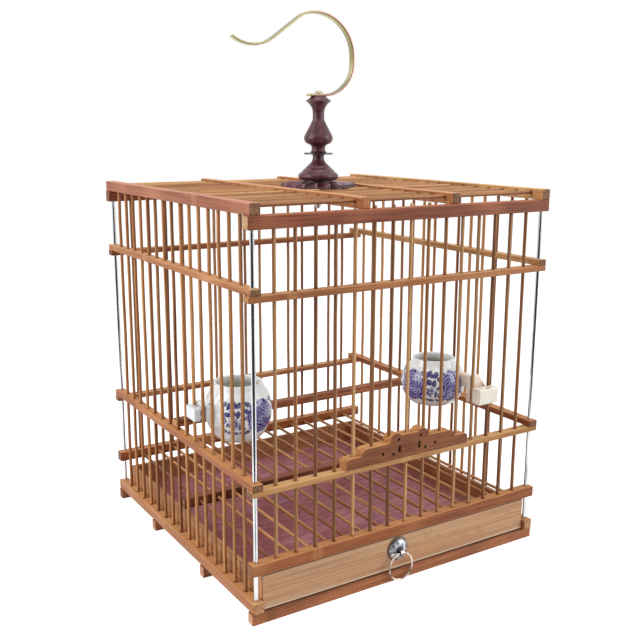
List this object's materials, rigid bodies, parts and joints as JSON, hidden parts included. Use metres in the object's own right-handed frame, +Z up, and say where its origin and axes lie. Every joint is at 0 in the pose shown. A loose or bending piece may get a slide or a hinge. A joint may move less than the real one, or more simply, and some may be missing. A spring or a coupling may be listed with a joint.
{
  "type": "songbird cage",
  "caption": "Square bamboo cage for a small songbird, with lifting barred door, litter drawer, perch, two porcelain cups and a swivelling hanging hook.",
  "frame": {"origin": "on the ground, midway between the four corner rods, at the underside of the base battens", "axes": "+Z up, -Y towards the door and drawer front, +X to the right seen from the front"},
  "size_m": [0.2511, 0.2542, 0.4013],
  "materials": {
    "bamboo_light": "planed split bamboo, waxed",
    "bamboo_mid": "planed split bamboo, waxed",
    "bamboo_dark": "planed split bamboo, stained",
    "bar_bamboo": "drawn round bamboo, waxed",
    "perch_wood": "stained hardwood",
    "drawer_wood": "planed bamboo board",
    "tray_board": "painted mauve",
    "rod_steel": "bright drawn wire",
    "porcelain": "white glazed porcelain with blue flowers",
    "lock_blue": "milky pale blue",
    "lock_cream": "milky cream",
    "pull_metal": "bright plated",
    "plum_wood": "dark plum gloss lacquer",
    "dark_disc": "blackened",
    "washer_steel": "dull",
    "hook_steel": "yellow zinc plated"
  },
  "bodies": {
    "cage": {"base_batten_front": "bamboo_mid", "base_batten_mid_front": "bamboo_mid", "base_batten_mid_back": "bamboo_mid", "base_batten_back": "bamboo_mid", "rail_foot_left": "bamboo_light", "rail_foot_right": "bamboo_light", "rail_sill_front": "bamboo_mid", "rail_sill_back": "bamboo_mid", "rail_floor_mid": "bamboo_dark", "rail_low_front": "bamboo_light", "rail_low_back": "bamboo_mid", "rail_low_left": "bamboo_mid", "rail_low_right": "bamboo_mid", "rail_high_front": "bamboo_light", "rail_high_back": "bamboo_mid", "rail_high_left": "bamboo_mid", "rail_high_right": "bamboo_mid", "rail_top_front": "bamboo_dark", "rail_top_back": "bamboo_mid", "rail_cap_left": "bamboo_mid", "rail_cap_right": "bamboo_mid", "crossbar_left": "bamboo_mid", "crossbar_right": "bamboo_mid", "bars_left": "bar_bamboo", "bars_right": "bar_bamboo", "bars_back": "bar_bamboo", "bars_front_left": "bar_bamboo", "bars_front_right": "bar_bamboo", "bars_front_low": "bar_bamboo", "bars_roof": "bar_bamboo", "bars_floor": "bar_bamboo", "corner_rods": "rod_steel", "perch": "perch_wood", "finial_rosette": "plum_wood", "finial_washer": "washer_steel", "finial_lower": "plum_wood", "finial_disc": "dark_disc", "finial_upper": "plum_wood", "hook_screw": "washer_steel", "under_plate": "bamboo_mid", "cap_nut": "washer_steel"},
    "door": {"door_board": "bamboo_dark", "door_bars": "bar_bamboo"},
    "drawer": {"drawer_front": "drawer_wood", "drawer_left": "drawer_wood", "drawer_right": "drawer_wood", "drawer_back": "drawer_wood", "drawer_tray": "tray_board", "pull_plate": "pull_metal", "pull_eye": "pull_metal"},
    "ring": {"pull_ring": "pull_metal"},
    "hook": {"hook_strap": "hook_steel"},
    "left_cup": {"cup_left": "porcelain"},
    "right_cup": {"cup_right": "porcelain"},
    "left_lock": {"cup_lock_left": "lock_blue"},
    "right_lock": {"cup_lock_right": "lock_cream"}
  },
  "joints": [
    {"name": "door_lift", "type": "slide", "parent": "cage", "child": "door", "axis": [0, 0, 1], "range_m": [0, 0.101]},
    {"name": "drawer_slide", "type": "slide", "parent": "cage", "child": "drawer", "axis": [0, -1, 0], "range_m": [0, 0.21]},
    {"name": "ring_swing", "type": "hinge", "parent": "drawer", "child": "ring", "pos_m": [-0.006, -0.1254, 0.0214], "axis": [-1, 0, 0], "range_deg": [-2, 160]},
    {"name": "hook_swivel", "type": "hinge", "parent": "cage", "child": "hook", "pos_m": [0.0022, 0, 0.3415], "axis": [0, 0, 1], "continuous": true},
    {"name": "left_cup_lift_off", "type": "slide", "parent": "cage", "child": "left_cup", "axis": [1, 0, 0], "range_m": [0, 0.012]},
    {"name": "right_cup_lift_off", "type": "slide", "parent": "cage", "child": "right_cup", "axis": [0, 1, 0], "range_m": [0, 0.02]},
    {"name": "left_lock_pull", "type": "slide", "parent": "cage", "child": "left_lock", "axis": [-1, 0, 0], "range_m": [0, 0.012]},
    {"name": "right_lock_pull", "type": "slide", "parent": "cage", "child": "right_lock", "axis": [0, -1, 0], "range_m": [0, 0.015]}
  ]
}
